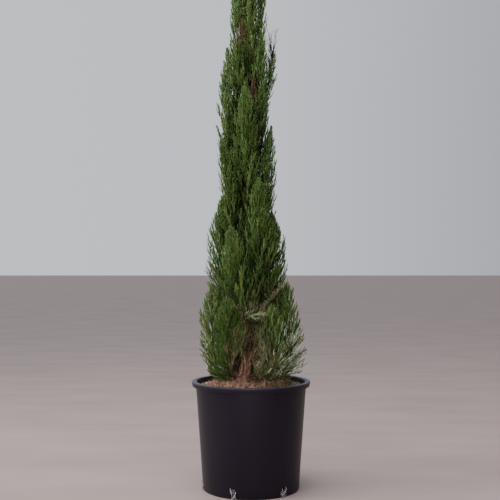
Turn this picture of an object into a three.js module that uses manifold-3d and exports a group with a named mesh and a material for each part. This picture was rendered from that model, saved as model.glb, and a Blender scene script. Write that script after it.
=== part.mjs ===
// An Italian cypress in a round black nursery pot. Millimetres, +Z up, front towards -Y.
// The origin is the middle of the pot's flat underside.
import * as THREE from "three";
import { mergeVertices } from "three/addons/utils/BufferGeometryUtils.js";
import Module from "manifold-3d";

const wasm = await Module();
wasm.setup();

const { lerp, clamp, degToRad } = THREE.MathUtils;
const UP = new THREE.Vector3(0, 0, 1);
const TURN = 2 * Math.PI;
const GOLDEN_ANGLE = Math.PI * (3 - Math.sqrt(5));

// Clearance from each piece to the next, and how near two corners are one
const GAP = 0.3;
const SAME_PLACE = 1e-4;

// The pot: a tapered tub with a turned-down lip, and drain slots where its wall meets its floor
const POT_HEIGHT = 362;
const RIM_RADIUS = 200;
const LIP_DROP = 17;
const LIP_ROUND = 4;
const NECK_RADIUS = 186;
const BASE_RADIUS = 162;
const BASE_ROUND = 4;
const WALL = 3;
const FLOOR = 4;
const POT_SIDES = 36;
const SLOT = { count: 6, first: degToRad(250), width: 24, height: 34, depth: 18 };

// The compost fills the pot to just under its lip
const GROUND = 348;
const COMPOST = { play: 1.2, slopeWidth: 9, slopeDrop: 6 };

// The trunk: its foot stands left of the middle and leans in; its radius flares at the ground
const TRUNK_TOP = 1745;
const TRUNK_SIDES = 10;
const TRUNK_STEPS = 18;
const FLARE_HEIGHTS = [0, 9, 22, 42, 72];
const LEAN = { foot: -36, footFade: 90, crown: -16, crownFade: 350 };
const SWAY = { width: 6, length: 260 };
const GIRTH = { tip: 2.5, foot: 14, taper: 0.85 };
const FLARE = { width: 10, fade: 26, lobes: 5, lobeDepth: 0.22 };

// The crown's outline: height above the floor, half-width there, and how far right its middle lies
const TREE_TOP = 1985;
const CROWN = [
  [380, 140, 12],
  [450, 180, 12],
  [600, 166, -8],
  [670, 146, -6],
  [770, 164, -12],
  [860, 136, -14],
  [950, 97, -14],
  [1050, 106, -20],
  [1150, 112, -22],
  [1350, 94, -20],
  [1500, 70, -13],
  [1620, 70, -13],
  [1800, 46, -12],
  [TREE_TOP, 8, -14],
];

// A plume's middle line goes out by its spread and lift, then up by way of its shoulder.
// Its heading is taken over a short share of it to either side.
const SHOULDER_RISE = 0.52;
const HEADING_SHARE = 0.01;

// A plume swells quickly, then is drawn to a point
const SWELL = { early: 0.72, blunt: 0.55, least: 0.14 };

// Low plumes stand in a ring round the foot, open at the front
const RING = {
  count: 7,
  gapMiddle: degToRad(268),
  gap: degToRad(66),
  turnPlay: 0.1,
  foot: 366,
  footStep: 8,
  tip: 655,
  tipPlay: 100,
  tipInset: 20,
  girthHeight: 450,
  width: 0.36,
  spread: 1.6,
  lift: 0.02,
  shoulder: 1.02,
  bare: 0.13,
};

// Steep plumes climb the trunk in a spiral
const SPIRAL = {
  count: 19,
  start: degToRad(110),
  turnPlay: 0.16,
  foot: 446,
  footStep: 30,
  footShare: 1.15,
  tips: [800, 1900],
  tipPlay: 26,
  tipReach: [0.8, 0.95],
  lengths: [450, 400],
  lengthPlay: 0.12,
  width: 0.44,
  spread: 0.62,
  lift: 0.14,
  shoulder: 1.16,
  bare: 0.2,
};

// One small plume stands away from the column, high on its right
const ASIDE = {
  azimuth: degToRad(15),
  foot: 1240,
  tip: 1510,
  tipReach: 94,
  reach: 80,
  radius: 22,
  spread: 0.9,
  lift: 0.1,
  shoulder: 1.15,
  bare: 0.16,
};

// The leader ends the trunk
const LEADER_RADIUS = 28;

// Boughs: each is the bare part of a plume's line, thinner than the trunk it leaves
const BOUGH_SIDES = 5;
const BOUGH_STEPS = 3;
const BOUGH = { ofTrunk: 0.34, least: 1.4, taper: 0.62, above: 60 };

// Foliage: sprays stand out of each plume's core and keep to the plume's space
const CORE = { sides: 6, steps: 6, width: 0.54, least: 1.2, end: 0.985, point: 1, drawIn: 0.1 };
const SPRAY = {
  count: 21,
  from: 0.03,
  to: 0.93,
  turnPlay: 0.5,
  leans: [0.62, 0.2],
  lengths: [2.4, 2.1],
  play: 0.3,
  width: 0.3,
  thickness: 0.12,
  widest: 0.45,
  sunk: 0.5,
  lift: 0.25,
  tries: 7,
  shorter: 0.84,
};
const SPACE = { reach: 1.12, margin: 0.05, limb: 1.5, soil: 8, rim: 4, samples: 24 };

const SEED = { ring: 101, spiral: 529, aside: 877, leader: 997, step: 17, sprays: 5000 };

// Repeatable numbers from 0 to 1
function seeded(seed) {
  let state = seed >>> 0;
  const next = () => {
    state = (Math.imul(state, 1664525) + 1013904223) >>> 0;
    return state / 2 ** 32;
  };
  for (let i = 0; i < 4; i++) next();
  return next;
}

function about(value, play, random) {
  return value + play * (random() - 0.5);
}

// Solids and meshes
function solidOf(geometry) {
  const bare = new THREE.BufferGeometry();
  bare.setAttribute("position", geometry.getAttribute("position"));
  bare.setIndex(geometry.getIndex());
  const merged = mergeVertices(bare, SAME_PLACE);
  return new wasm.Manifold(
    new wasm.Mesh({
      numProp: 3,
      vertProperties: new Float32Array(merged.attributes.position.array),
      triVerts: new Uint32Array(merged.index.array),
    }),
  );
}

function geometryOf(solid) {
  const mesh = solid.getMesh();
  const geometry = new THREE.BufferGeometry();
  geometry.setAttribute("position", new THREE.BufferAttribute(mesh.vertProperties, 3));
  geometry.setIndex(new THREE.BufferAttribute(mesh.triVerts, 1));
  geometry.computeVertexNormals();
  return geometry;
}

function largest(solid) {
  return solid.decompose().reduce((best, piece) => (piece.volume() > best.volume() ? piece : best));
}

// A closed skin over rings of points; each ring runs anticlockwise seen from the last one
function skin(rings) {
  const sides = rings[0].length;
  const index = [];
  for (let r = 0; r + 1 < rings.length; r++) {
    for (let s = 0; s < sides; s++) {
      const a = r * sides + s;
      const b = r * sides + ((s + 1) % sides);
      index.push(a, b, b + sides, a, b + sides, a + sides);
    }
  }
  const last = (rings.length - 1) * sides;
  for (let s = 1; s + 1 < sides; s++) {
    index.push(0, s + 1, s);
    index.push(last, last + s, last + s + 1);
  }
  const geometry = new THREE.BufferGeometry().setFromPoints(rings.flat());
  geometry.setIndex(index);
  return geometry;
}

// A solid turned about the pot's axis
function turned(profile) {
  const points = profile.map(([x, y]) => new THREE.Vector2(x, y));
  return solidOf(new THREE.LatheGeometry(points, POT_SIDES).rotateX(Math.PI / 2));
}

// Two directions square to a heading
function sideways(heading) {
  const first = new THREE.Vector3().crossVectors(heading, new THREE.Vector3(0, 1, 0)).normalize();
  const second = new THREE.Vector3().crossVectors(heading, first).normalize();
  return [first, second];
}

function ringAt(centre, heading, radius, sides) {
  const [first, second] = sideways(heading);
  return Array.from({ length: sides }, (_, s) => {
    const angle = (TURN * s) / sides;
    return centre
      .clone()
      .addScaledVector(first, radius * Math.cos(angle))
      .addScaledVector(second, radius * Math.sin(angle));
  });
}

// The trunk's middle line and radius
function trunkPoint(z) {
  const rise = z - GROUND;
  const settled = 1 - Math.exp(-((rise / LEAN.crownFade) ** 2));
  return new THREE.Vector3(
    LEAN.foot * Math.exp(-rise / LEAN.footFade) + LEAN.crown * settled,
    SWAY.width * Math.sin(rise / SWAY.length),
    z,
  );
}

function trunkRadius(z) {
  const share = clamp((z - GROUND) / (TRUNK_TOP - GROUND), 0, 1);
  const flare = FLARE.width * Math.exp(-(z - GROUND) / FLARE.fade);
  return GIRTH.tip + GIRTH.foot * (1 - share) ** GIRTH.taper + flare;
}

// The trunk, made larger all over by extra where it serves to cut
function trunkSolid(extra) {
  const tall = TRUNK_TOP - GROUND - GAP;
  const straight = FLARE_HEIGHTS[FLARE_HEIGHTS.length - 1];
  const rises = [...FLARE_HEIGHTS];
  for (let i = 1; i <= TRUNK_STEPS; i++) rises.push(lerp(straight, tall, i / TRUNK_STEPS));
  const rings = rises.map((rise, i) => {
    const z = GROUND + GAP + rise;
    const centre = trunkPoint(z);
    const lobes = FLARE.lobeDepth * Math.exp(-rise / FLARE.fade);
    const stretch = (i === rises.length - 1 ? extra : 0) - (i === 0 ? extra : 0);
    return Array.from({ length: TRUNK_SIDES }, (_, s) => {
      const angle = (TURN * s) / TRUNK_SIDES;
      const radius = trunkRadius(z) * (1 + lobes * Math.cos(FLARE.lobes * angle)) + extra;
      return new THREE.Vector3(
        centre.x + radius * Math.cos(angle),
        centre.y + radius * Math.sin(angle),
        z + stretch,
      );
    });
  });
  return solidOf(skin(rings));
}

// The crown's half-width and middle at a height
function crownAt(z) {
  const above = clamp(CROWN.findIndex(([height]) => height >= z), 1, CROWN.length - 1);
  const [low, lowRadius, lowMiddle] = CROWN[above - 1];
  const [high, highRadius, highMiddle] = CROWN[above];
  const share = clamp((z - low) / (high - low), 0, 1);
  return { radius: lerp(lowRadius, highRadius, share), middle: lerp(lowMiddle, highMiddle, share) };
}

function bezier([a, b, c, d], t) {
  const s = 1 - t;
  return a
    .clone()
    .multiplyScalar(s * s * s)
    .addScaledVector(b, 3 * s * s * t)
    .addScaledVector(c, 3 * s * t * t)
    .addScaledVector(d, t * t * t);
}

function bezierHeading(line, t) {
  return bezier(line, t + HEADING_SHARE).sub(bezier(line, t - HEADING_SHARE)).normalize();
}

// The four control points of a plume's middle line
function plumeLine(foot, tip, azimuth, reach, tipReach, { spread, lift, shoulder }) {
  const at = (rise, width) => {
    const z = lerp(foot, tip, rise);
    const x = crownAt(z).middle + width * Math.cos(azimuth);
    return new THREE.Vector3(x, width * Math.sin(azimuth), z);
  };
  return [
    trunkPoint(foot),
    at(lift, reach * spread),
    at(SHOULDER_RISE, reach * shoulder),
    at(1, tipReach),
  ];
}

// How full a plume is, from 0 at its stem to 1 at its tip
function fullness(share) {
  return Math.sin(Math.PI * clamp(share, 0, 1) ** SWELL.early) ** SWELL.blunt;
}

// A place on a plume, from 0 where its bough ends to 1 at its tip
function plumePoint(plume, share) {
  return bezier(plume.line, lerp(plume.boughShare, 1, share));
}

function plumeHeading(plume, share) {
  return bezierHeading(plume.line, lerp(plume.boughShare, 1, share));
}

function makePlume(name, seed, line, radius, boughShare) {
  const plume = { name, seed: seed + SEED.sprays, line, radius, boughShare };
  plume.samples = Array.from({ length: SPACE.samples + 1 }, (_, i) => {
    const share = i / SPACE.samples;
    return { point: plumePoint(plume, share), radius: radius * Math.max(fullness(share), SWELL.least) };
  });
  return plume;
}

function ringPlumes() {
  return Array.from({ length: RING.count }, (_, i) => {
    const seed = SEED.ring + SEED.step * i;
    const random = seeded(seed);
    const step = (TURN - RING.gap) / (RING.count - 1);
    const azimuth = about(RING.gapMiddle + RING.gap / 2 + i * step, RING.turnPlay, random);
    const tip = about(RING.tip, RING.tipPlay, random);
    const foot = RING.foot + RING.footStep * (i % 2);
    const crown = crownAt(RING.girthHeight).radius;
    const radius = RING.width * crown;
    const tipReach = crownAt(tip).radius - RING.tipInset;
    const line = plumeLine(foot, tip, azimuth, crown - radius, tipReach, RING);
    return makePlume(`plume_low_${i + 1}`, seed, line, radius, RING.bare);
  });
}

function spiralPlumes() {
  return Array.from({ length: SPIRAL.count }, (_, i) => {
    const seed = SEED.spiral + SEED.step * i;
    const random = seeded(seed);
    const share = i / (SPIRAL.count - 1);
    const azimuth = about(SPIRAL.start + i * GOLDEN_ANGLE, SPIRAL.turnPlay, random);
    const tip = about(lerp(...SPIRAL.tips, share), SPIRAL.tipPlay, random);
    const length = lerp(...SPIRAL.lengths, share) * about(1, SPIRAL.lengthPlay, random);
    const foot = Math.max(tip - SPIRAL.footShare * length, SPIRAL.foot + SPIRAL.footStep * i);
    const crown = crownAt(tip - length / 2).radius;
    const radius = SPIRAL.width * crown;
    const tipReach = crownAt(tip).radius * lerp(...SPIRAL.tipReach, random());
    const line = plumeLine(foot, tip, azimuth, crown - radius, tipReach, SPIRAL);
    return makePlume(`plume_${i + 1}`, seed, line, radius, SPIRAL.bare);
  });
}

function asidePlume() {
  const line = plumeLine(ASIDE.foot, ASIDE.tip, ASIDE.azimuth, ASIDE.reach, ASIDE.tipReach, ASIDE);
  return makePlume("plume_aside", SEED.aside, line, ASIDE.radius, ASIDE.bare);
}

function leaderPlume() {
  const start = trunkPoint(TRUNK_TOP).addScaledVector(UP, GAP);
  const line = [0, 1 / 3, 2 / 3, 1].map((share) =>
    start.clone().addScaledVector(UP, share * (TREE_TOP - start.z)),
  );
  return makePlume("plume_leader", SEED.leader, line, LEADER_RADIUS, 0);
}

const plumes = [...ringPlumes(), ...spiralPlumes(), asidePlume(), leaderPlume()];

// Every plume but the leader leaves the trunk on a bare bough
const withBough = plumes.filter((plume) => plume.boughShare > 0);

function boughRadius(plume, share) {
  const thick = BOUGH.ofTrunk * trunkRadius(plume.line[0].z + BOUGH.above) + BOUGH.least;
  return lerp(thick, BOUGH.taper * thick, share);
}

function boughPlaces(plume) {
  return Array.from({ length: BOUGH_STEPS + 1 }, (_, i) => {
    const share = (plume.boughShare * i) / BOUGH_STEPS;
    return {
      centre: bezier(plume.line, share),
      heading: bezierHeading(plume.line, share),
      radius: boughRadius(plume, i / BOUGH_STEPS),
    };
  });
}

function boughSolid(plume, trunkCutter) {
  const rings = boughPlaces(plume).map(({ centre, heading, radius }) =>
    ringAt(centre, heading, radius, BOUGH_SIDES),
  );
  return largest(solidOf(skin(rings)).subtract(trunkCutter));
}

const boughSegments = withBough.flatMap((plume) => {
  const places = boughPlaces(plume);
  return places.slice(1).map((end, i) => ({
    plume,
    segment: new THREE.Line3(places[i].centre, end.centre),
    radius: places[i].radius,
  }));
});

// Whether a point is clear of the soil and of the pot's rim
function aboveGround(point) {
  const overRim = Math.hypot(point.x, point.y) > NECK_RADIUS - WALL - SPACE.rim;
  return point.z > (overRim ? POT_HEIGHT + SPACE.rim : GROUND + SPACE.soil);
}

// Whether a point is clear of the trunk and of every other plume's bough
function clearOfLimbs(point, owner) {
  const trunk = trunkPoint(clamp(point.z, GROUND, TRUNK_TOP));
  if (point.distanceTo(trunk) < trunkRadius(point.z) + SPACE.limb) return false;
  const near = new THREE.Vector3();
  return boughSegments.every(({ plume, segment, radius }) => {
    if (plume === owner) return true;
    segment.closestPointToPoint(point, true, near);
    return near.distanceTo(point) > radius + SPACE.limb;
  });
}

// How far a point is from a plume's middle line, as a share of the plume's radius there
function spaceShare(plume, point) {
  return Math.min(...plume.samples.map((sample) => point.distanceTo(sample.point) / sample.radius));
}

// A point is in a plume's space if it is nearer to that plume than to any other
function inSpace(plume, point) {
  const own = spaceShare(plume, point);
  if (own > SPACE.reach || !aboveGround(point) || !clearOfLimbs(point, plume)) return false;
  return plumes.every((other) => other === plume || spaceShare(other, point) > own + SPACE.margin);
}

// A spray: a slim lance with three long edges, widest just below its middle
function sprayCorners(root, tip, across) {
  const along = tip.clone().sub(root);
  const length = along.length();
  const middle = root.clone().addScaledVector(along, SPRAY.widest);
  const through = new THREE.Vector3().crossVectors(along, across).normalize();
  return [
    middle.clone().addScaledVector(across, (SPRAY.width * length) / 2),
    middle.clone().addScaledVector(through, SPRAY.thickness * length),
    middle.clone().addScaledVector(across, (-SPRAY.width * length) / 2),
  ];
}

function spraySolid(root, tip, corners) {
  const geometry = new THREE.BufferGeometry().setFromPoints([root, ...corners, tip]);
  const index = [];
  for (let s = 0; s < 3; s++) {
    const a = 1 + s;
    const b = 1 + ((s + 1) % 3);
    index.push(0, b, a, a, b, 4);
  }
  geometry.setIndex(index);
  return solidOf(geometry);
}

function sprayFits(plume, root, tip, corners) {
  const halfway = corners.flatMap((corner) => [
    corner.clone().lerp(tip, 0.5),
    corner.clone().lerp(root, 0.5),
  ]);
  return [tip, ...corners, ...halfway].every((point) => inSpace(plume, point));
}

// The core's radius along the plume
function coreRadius(plume, share) {
  return Math.max(CORE.width * plume.radius * fullness(share), CORE.least);
}

// One spray, shortened until it fits; none where it never does
function growSpray(plume, k, random) {
  const share = lerp(SPRAY.from, SPRAY.to, (k + 0.5) / SPRAY.count);
  const heading = plumeHeading(plume, share);
  const [first, second] = sideways(heading);
  const turn = k * GOLDEN_ANGLE + SPRAY.turnPlay * random();
  const out = first.multiplyScalar(Math.cos(turn)).addScaledVector(second, Math.sin(turn));
  const lean = lerp(...SPRAY.leans, share) * about(1, SPRAY.play, random);
  const along = heading.multiplyScalar(Math.cos(lean)).addScaledVector(out, Math.sin(lean));
  along.addScaledVector(UP, SPRAY.lift).normalize();
  const across = new THREE.Vector3().crossVectors(along, out).normalize();
  const root = plumePoint(plume, share).addScaledVector(out, SPRAY.sunk * coreRadius(plume, share));
  let length = plume.radius * lerp(...SPRAY.lengths, share) * about(1, SPRAY.play, random);
  for (let attempt = 0; attempt < SPRAY.tries; attempt++) {
    const tip = root.clone().addScaledVector(along, length);
    const corners = sprayCorners(root, tip, across);
    if (sprayFits(plume, root, tip, corners)) return spraySolid(root, tip, corners);
    length *= SPRAY.shorter;
  }
  return null;
}

// A core's ring, each corner drawn in until it is in the plume's space
function coreRing(plume, share) {
  const centre = plumePoint(plume, share);
  const corners = ringAt(centre, plumeHeading(plume, share), coreRadius(plume, share), CORE.sides);
  return corners.map((corner) => {
    let room = 1;
    while (room > 2 * CORE.drawIn && !inSpace(plume, centre.clone().lerp(corner, room))) {
      room -= CORE.drawIn;
    }
    return centre.clone().lerp(corner, room);
  });
}

// A plume's stem, which swells into its core of shaded foliage and ends in its tip
function coreSolid(plume) {
  const heading = plumeHeading(plume, 0);
  const start = plumePoint(plume, 0).addScaledVector(heading, plume.boughShare > 0 ? GAP : 0);
  const rings = [ringAt(start, heading, boughRadius(plume, 1), CORE.sides)];
  for (let i = 1; i < CORE.steps; i++) rings.push(coreRing(plume, i / CORE.steps));
  const end = plumePoint(plume, CORE.end);
  rings.push(ringAt(end, plumeHeading(plume, CORE.end), CORE.point, CORE.sides));
  return solidOf(skin(rings));
}

function plumeSolid(plume, trunkCutter) {
  const random = seeded(plume.seed);
  const sprays = Array.from({ length: SPRAY.count }, (_, k) => growSpray(plume, k, random));
  const whole = wasm.Manifold.union([coreSolid(plume), ...sprays.filter(Boolean)]);
  return largest(whole.subtract(trunkCutter));
}

function slotSolids() {
  return Array.from({ length: SLOT.count }, (_, i) => {
    const slot = new THREE.BoxGeometry(2 * SLOT.depth, SLOT.width, 2 * SLOT.height);
    slot.translate(BASE_RADIUS, 0, 0);
    slot.rotateZ(SLOT.first + (TURN * i) / SLOT.count);
    return solidOf(slot);
  });
}

// The pot's wall, lip and floor
function potSolid() {
  const under = POT_HEIGHT - LIP_DROP;
  const shell = turned([
    [0, 0],
    [BASE_RADIUS - BASE_ROUND, 0],
    [BASE_RADIUS, BASE_ROUND],
    [NECK_RADIUS, under],
    [NECK_RADIUS, POT_HEIGHT - WALL],
    [RIM_RADIUS - WALL, POT_HEIGHT - WALL],
    [RIM_RADIUS - WALL, under],
    [RIM_RADIUS, under],
    [RIM_RADIUS, POT_HEIGHT - LIP_ROUND],
    [RIM_RADIUS - LIP_ROUND, POT_HEIGHT],
    [NECK_RADIUS - WALL, POT_HEIGHT],
    [BASE_RADIUS - WALL, FLOOR],
    [0, FLOOR],
  ]);
  return slotSolids().reduce((pot, slot) => pot.subtract(slot), shell);
}

// The compost's radius at a height, a little clear of the wall
function compostRadius(z) {
  const share = (z - FLOOR) / (POT_HEIGHT - FLOOR);
  return lerp(BASE_RADIUS, NECK_RADIUS, share) - WALL - COMPOST.play;
}

function compostSolid() {
  const bottom = FLOOR + GAP;
  const shore = GROUND - COMPOST.slopeDrop;
  return turned([
    [0, bottom],
    [compostRadius(bottom), bottom],
    [compostRadius(shore), shore],
    [compostRadius(shore) - COMPOST.slopeWidth, GROUND],
    [0, GROUND],
  ]);
}

const finishes = {
  pot: new THREE.MeshStandardMaterial({ color: 0x1f1d22, roughness: 0.5, metalness: 0 }),
  compost: new THREE.MeshStandardMaterial({ color: 0x7a5a42, roughness: 1, metalness: 0 }),
  bark: new THREE.MeshStandardMaterial({ color: 0x6a4638, roughness: 0.95, metalness: 0 }),
  foliage: new THREE.MeshStandardMaterial({ color: 0x3f5a2c, roughness: 0.7, metalness: 0 }),
};

const tree = new THREE.Group();

function add(name, solid, finish) {
  const mesh = new THREE.Mesh(geometryOf(solid), finish);
  mesh.name = name;
  tree.add(mesh);
}

const trunkCutter = trunkSolid(GAP);

add("pot", potSolid(), finishes.pot);
add("compost", compostSolid(), finishes.compost);
add("trunk", trunkSolid(0), finishes.bark);
for (const plume of withBough) {
  add(plume.name.replace("plume", "bough"), boughSolid(plume, trunkCutter), finishes.bark);
}
for (const plume of plumes) add(plume.name, plumeSolid(plume, trunkCutter), finishes.foliage);

export default tree;
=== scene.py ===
# The looks of an Italian cypress in its black nursery pot. Metres, +Z up, front towards -Y.
import math
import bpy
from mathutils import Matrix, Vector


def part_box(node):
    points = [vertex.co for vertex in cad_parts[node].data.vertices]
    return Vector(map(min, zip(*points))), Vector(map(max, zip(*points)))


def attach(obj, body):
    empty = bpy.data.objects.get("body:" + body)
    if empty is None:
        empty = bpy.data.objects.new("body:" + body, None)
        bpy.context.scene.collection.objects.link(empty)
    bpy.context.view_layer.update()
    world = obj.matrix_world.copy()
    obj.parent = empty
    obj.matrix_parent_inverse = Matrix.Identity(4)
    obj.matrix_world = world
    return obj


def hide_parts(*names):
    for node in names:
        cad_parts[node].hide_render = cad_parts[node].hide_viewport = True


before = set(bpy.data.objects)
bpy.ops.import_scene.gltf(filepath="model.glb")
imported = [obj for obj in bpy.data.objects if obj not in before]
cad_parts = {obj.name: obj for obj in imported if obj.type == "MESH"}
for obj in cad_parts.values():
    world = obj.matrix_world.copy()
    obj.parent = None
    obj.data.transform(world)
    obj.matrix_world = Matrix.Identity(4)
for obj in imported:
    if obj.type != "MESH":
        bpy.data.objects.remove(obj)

from types import SimpleNamespace as Values

import bpy
import numpy as np
from mathutils import Vector
from numpy.random import default_rng

TURN = 2 * math.pi
GOLDEN_ANGLE = math.pi * (3 - math.sqrt(5))
UP = np.array([0.0, 0.0, 1.0])

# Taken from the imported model
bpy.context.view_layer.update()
POT_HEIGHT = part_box("pot")[1].z
RIM_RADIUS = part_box("pot")[1].x
COMPOST_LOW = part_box("compost")[0].z
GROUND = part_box("compost")[1].z
TRUNK_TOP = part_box("trunk")[1].z
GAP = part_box("trunk")[0].z - GROUND

# The pot, as in the source
LIP_DROP = 0.017
LIP_ROLL = 0.0035
LIP_DRAFT = 0.0025
NECK_RADIUS = 0.186
BASE_RADIUS = 0.162
BASE_ROUND = 0.004
WALL = 0.003
FLOOR = 0.004
FLOOR_MIDDLE = 0.05
SLOT = Values(count=6, first=math.radians(250), width=0.024, height=0.034, depth=0.018, round=0.007)
MOULD_STEP = Values(drop=0.03, height=0.004, depth=0.0006)
POT_SIDES = 180
SHARP_ANGLE = math.radians(32)

# The compost's surface, as in the source, its heap against the trunk, and its lumps
COMPOST = Values(
    play=0.0012, slope_width=0.009, slope_drop=0.006, rough=0.0022, sides=132, rings=48, side_rings=12
)
HEAP = Values(height=0.008, width=0.045)
LUMPS = Values(paces=(40, 75, 130, 230, 400), wander=2, wander_pace=0.7, fade=0.6, size=2.2)

# What lies on the compost, and the roots in the drain slots
CHIPS = Values(
    count=1500, longest=0.015, shortest=0.004, tilt=0.35, lift=0.0008,
    widths=(0.25, 0.6), heights=(0.08, 0.22), uneven=(0.6, 1.15),
)
LITTER = Values(
    count=2100, from_foot=0.014, spread=0.045, longest=0.034, shortest=0.01, tilt=0.5, lift=0.001,
    heap=0.032, heap_width=0.04, slimness=0.09, least_width=0.0008,
)
ROOTS = Values(
    each=13, rings=6, sides=5, proud=0.005, sunk=0.004, longest=0.03, lengths=(0.4, 1), width=0.0016,
    widths=(0.5, 1.1), lean=1.2, slant=0.5, wobble=0.002, across=0.42, edge=0.46, lowest=0.003,
    highest=0.85, floor=0.0012, over=0.008,
)

# The photograph's camera: level, its horizon a little under the middle of the picture
IMAGE_PIXELS = 500
FOCAL_PIXELS = 870
HORIZON_PIXEL = 265
SENSOR = 36
CAMERA_PLACE = (-0.0034, -2.94, 0.752)

# The trunk, as in the source, and its mesh here
LEAN = Values(foot=-0.036, foot_fade=0.09, crown=-0.016, crown_fade=0.35)
SWAY = Values(width=0.006, length=0.26)
GIRTH = Values(tip=0.0025, foot=0.014, taper=0.85)
FLARE = Values(width=0.01, fade=0.026, lobes=5, lobe_depth=0.22)
TRUNK_MESH = Values(sides=56, foot=0.25, foot_rings=90, rings=200, relief=0.05, least_relief=0.0002)

# The crown's outline, as in the source: height, half-width, and how far right its middle lies
TREE_TOP = 1.985
CROWN = np.array([
    [0.38, 0.14, 0.012], [0.45, 0.18, 0.012], [0.6, 0.166, -0.008], [0.67, 0.146, -0.006],
    [0.77, 0.164, -0.012], [0.86, 0.136, -0.014], [0.95, 0.097, -0.014], [1.05, 0.106, -0.02],
    [1.15, 0.112, -0.022], [1.35, 0.094, -0.02], [1.5, 0.07, -0.013], [1.62, 0.07, -0.013],
    [1.8, 0.046, -0.012], [TREE_TOP, 0.008, -0.014],
])

# The plumes, as in the source
SHOULDER_RISE = 0.52
HEADING_SHARE = 0.01
SWELL = Values(early=0.72, blunt=0.55, least=0.14)
RING = Values(
    count=7, gap_middle=math.radians(268), gap=math.radians(66), turn_play=0.1, foot=0.366, foot_step=0.008,
    tip=0.655, tip_play=0.1, tip_inset=0.02, girth_height=0.45, width=0.36, spread=1.6, lift=0.02,
    shoulder=1.02, bare=0.13,
)
SPIRAL = Values(
    count=19, start=math.radians(110), turn_play=0.16, foot=0.446, foot_step=0.03, foot_share=1.15,
    tips=(0.8, 1.9), tip_play=0.026, tip_reach=(0.8, 0.95), lengths=(0.45, 0.4), length_play=0.12, width=0.44,
    spread=0.62, lift=0.14, shoulder=1.16, bare=0.2,
)
ASIDE = Values(
    azimuth=math.radians(15), foot=1.24, tip=1.51, tip_reach=0.094, reach=0.08, radius=0.022, spread=0.9,
    lift=0.1, shoulder=1.15, bare=0.16,
)
LEADER_RADIUS = 0.028
BOUGH = Values(of_trunk=0.34, least=0.0014, taper=0.62, above=0.06)
BOUGH_MESH = Values(sides=12, rings=14, past=1.04, stretch=2, shift=9, relief=0.09)

# Where foliage may reach: shares of a plume's girth and of the crown's outline, and what it keeps clear of
SPACE = Values(
    reach=(0.84, 1.14), past_tip=0.12, outline=1.04, skirt=1.1, limb=0.0015, soil=0.008, rim=0.004, samples=24
)
SEED = Values(
    trunk=5, boughs=6, twigs=41, sprays=43, cords=47, inner=53, ground=59, chips=61, litter=67, roots=71,
    strips=73, shoots=79, tints=83, sprig=89, bare=97, ring=101, spiral=529, step=17,
)

# The rule carried on to finer parts: twigs leave a plume's stem, sprays leave a twig, cords make a spray
TWIG = Values(
    per_area=3100, extra=0.012, high_from=22, high_density=1.25, start=-0.11, end=0.975, turn_play=0.5,
    density={"plume_leader": 1.6, "plume_aside": 1.3, "plume_low_1": 0.9, "plume_low_2": 0.75},
    leans=(0.62, 0.2), low_leans=(1.05, 0.3), lengths=(2.4, 2.1), play=0.3, lift=0.25, low_lift=0.1,
    bend=0.12, tries=9, shorter=0.84, shortest=0.016, foot_radius=0.0011, tip_radius=0.0005, rings=4, sides=3,
)
STEM = Values(rings=24, end=0.99, tip_radius=0.0006, taper=0.8, sides=8)
SPRAY = Values(
    spacing=0.0064, least=2, start=0.2, offset=0.8, lean=0.38, lean_play=0.4, last_lean=0.1, lift=0.55,
    lengths=(0.044, 0.03), play=0.5, tries=5, shorter=0.8, shortest=0.013, deep_under=0.55, deep_kept=0.55,
)
CORD = Values(
    start=0.0, end=0.88, lean=0.27, lean_play=0.25, twist=0.6, share=0.38, tip_share=0.22, play=0.4,
    widths=(0.8, 1.2),
)

# Cords of a spray and their width: fewer and wider ones deep in the shade
FINE_CORDS = Values(count=9, width=0.0024)
SHADED_CORDS = Values(count=4, width=0.0042)

# Twigs straight off the trunk: how many, between which heights, turns in degrees and leans, their lengths as
# shares of the crown's half-width, and two tints of their sprays with their shares, the rest being deep
# The rest take the deep tint, which is painted shade inside the crown
TRUNK_TWIGS = [
    # In the shade of the crown, then filling its right and its left
    (400, (0.6, 1.74), (0, 360), (0.25, 0.65), (0.6, 1.05), ("dry", 0.1), ("mid", 0.4)),
    (100, (0.72, 1.22), (-75, 35), (0.22, 0.42), (0.65, 1.0), ("dull", 0.1), ("mid", 0.6)),
    (60, (0.85, 1.12), (140, 235), (0.25, 0.45), (0.85, 1.15), ("dull", 0.1), ("mid", 0.6)),
    # Low down all round, then lower and higher in the gap at the front
    (110, (0.37, 0.53), (0, 360), (0.4, 1.1), (0.45, 0.9), ("dry", 0.35), ("dull", 0.35)),
    (90, (0.45, 0.55), (232, 312), (0.6, 1.25), (0.5, 0.9), ("dry", 0.25), ("dull", 0.45)),
    (90, (0.5, 0.62), (232, 312), (0.4, 0.9), (0.6, 0.95), ("dull", 0.2), ("dry", 0.03)),
    # The skirt, spread over the compost, some of its sprays pale with painted highlight
    (200, (0.353, 0.375), (-72, 222), (1.15, 1.52), (0.5, 1.1), ("dull", 0.55), ("pale", 0.1)),
]
TRUNK_TWIG_ROOT = 0.8
SKIRT = -len(TRUNK_TWIGS)

# Stringy strips of bark that lift off the trunk, and dead shoots round its foot in clumps with their spreads
STRIPS = Values(
    count=420, end=0.5, crowding=1.6, longest=0.06, shortest=0.015, width=0.0028, widths=(0.4, 1),
    ends=(0.08, 0.92), drift=0.25, clear=0.0002, proud=0.0022, rings=5, sides=4,
)
SHOOTS = Values(
    count=260, longest=0.06, shortest=0.015, width=0.0024, widths=(0.5, 1.2), sunk=0.001, lean=0.5,
    bend=0.3, sides=5,
)
SHOOT_TAPER = np.array([1, 0.9, 0.75, 0.5, 0.2])
SHOOT_CLUMPS = [((-0.034, -0.012), 0.032), ((0.056, -0.045), 0.026)]

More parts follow.
